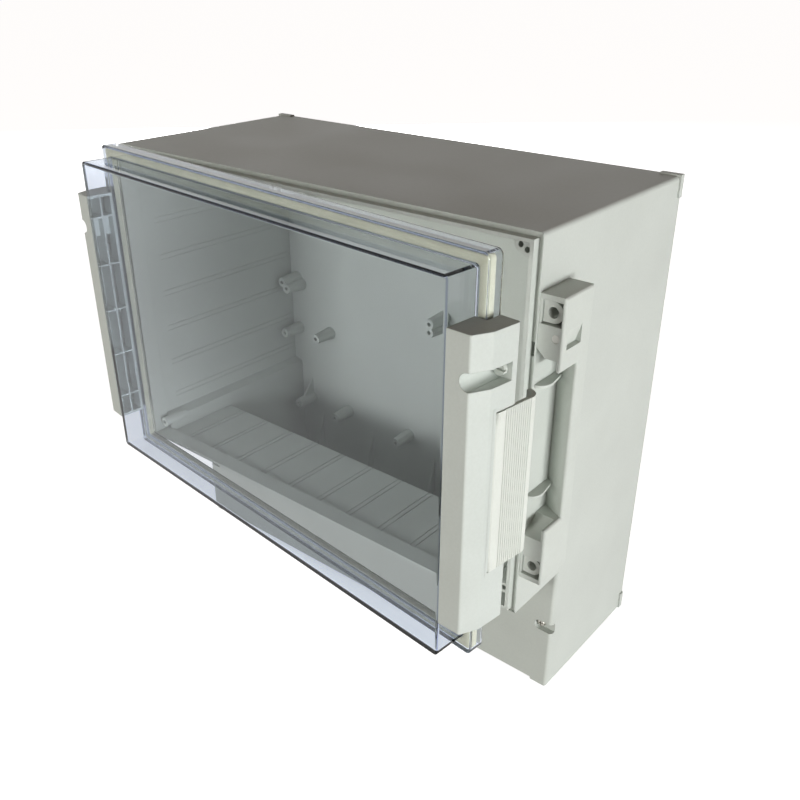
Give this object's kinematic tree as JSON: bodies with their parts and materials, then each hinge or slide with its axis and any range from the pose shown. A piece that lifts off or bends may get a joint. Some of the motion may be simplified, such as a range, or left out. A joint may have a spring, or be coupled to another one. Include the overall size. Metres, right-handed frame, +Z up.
{
  "type": "electrical enclosure",
  "caption": "Grey moulded wall enclosure with a recessed lower chamber and a clear deep hood that swings on one side flap and latches with the other.",
  "frame": {"origin": "centre of the flat back face, which goes against the wall", "axes": "+Z up, +X to the right seen from the front, +Y into the wall, so the front faces -Y"},
  "size_m": [0.4343, 0.2591, 0.3832],
  "materials": {
    "grey_plastic": "fine matt moulded",
    "bracket_plastic": "matt moulded",
    "strip_plastic": "matt moulded",
    "clear_plastic": "polished clear",
    "foam_seal": "closed-cell foam",
    "steel_screw": "zinc plated",
    "brass": "plain turned"
  },
  "bodies": {
    "box": {"housing": "grey_plastic", "bracket_right": "bracket_plastic", "bracket_left": "bracket_plastic", "fixing_sleeve_upper_right": "bracket_plastic", "fixing_sleeve_upper_left": "bracket_plastic", "fixing_sleeve_lower_right": "bracket_plastic", "fixing_sleeve_lower_left": "bracket_plastic", "blank_plug_right": "bracket_plastic", "blank_plug_left": "bracket_plastic", "chamber_screw_right": "steel_screw", "chamber_screw_left": "steel_screw", "screw_insert_right": "brass", "screw_insert_left": "brass", "hinge_flap": "strip_plastic"},
    "lid": {"hood": "clear_plastic", "lid_gasket": "foam_seal", "latch_strip": "strip_plastic", "hinge_strip": "strip_plastic"},
    "latch_flap": {"latch_flap": "strip_plastic"},
    "lock_screw_right": {"lock_screw_right": "strip_plastic"},
    "lock_screw_left": {"lock_screw_left": "strip_plastic"}
  },
  "joints": [
    {"name": "lid_hinge", "type": "hinge", "parent": "box", "child": "lid", "pos_m": [-0.2139, -0.201, 0.0555], "axis": [0, 0, -1], "range_deg": [-5.3, 95]},
    {"name": "latch_flap_hinge", "type": "hinge", "parent": "lid", "child": "latch_flap", "pos_m": [0.21207, -0.24052, 0.0555], "axis": [0, 0, -1], "range_deg": [-2.5, 12], "stiffness_Nm_per_rad": 0.05},
    {"name": "lock_screw_right_turn", "type": "hinge", "parent": "lid", "child": "lock_screw_right", "pos_m": [0.20706, -0.23061, 0.127], "axis": [0.0924, 0.9957, 0], "range_deg": [0, 90]},
    {"name": "lock_screw_left_turn", "type": "hinge", "parent": "lid", "child": "lock_screw_left", "pos_m": [-0.20716, -0.19218, 0.127], "axis": [0.0924, 0.9957, 0], "range_deg": [0, 90]}
  ]
}
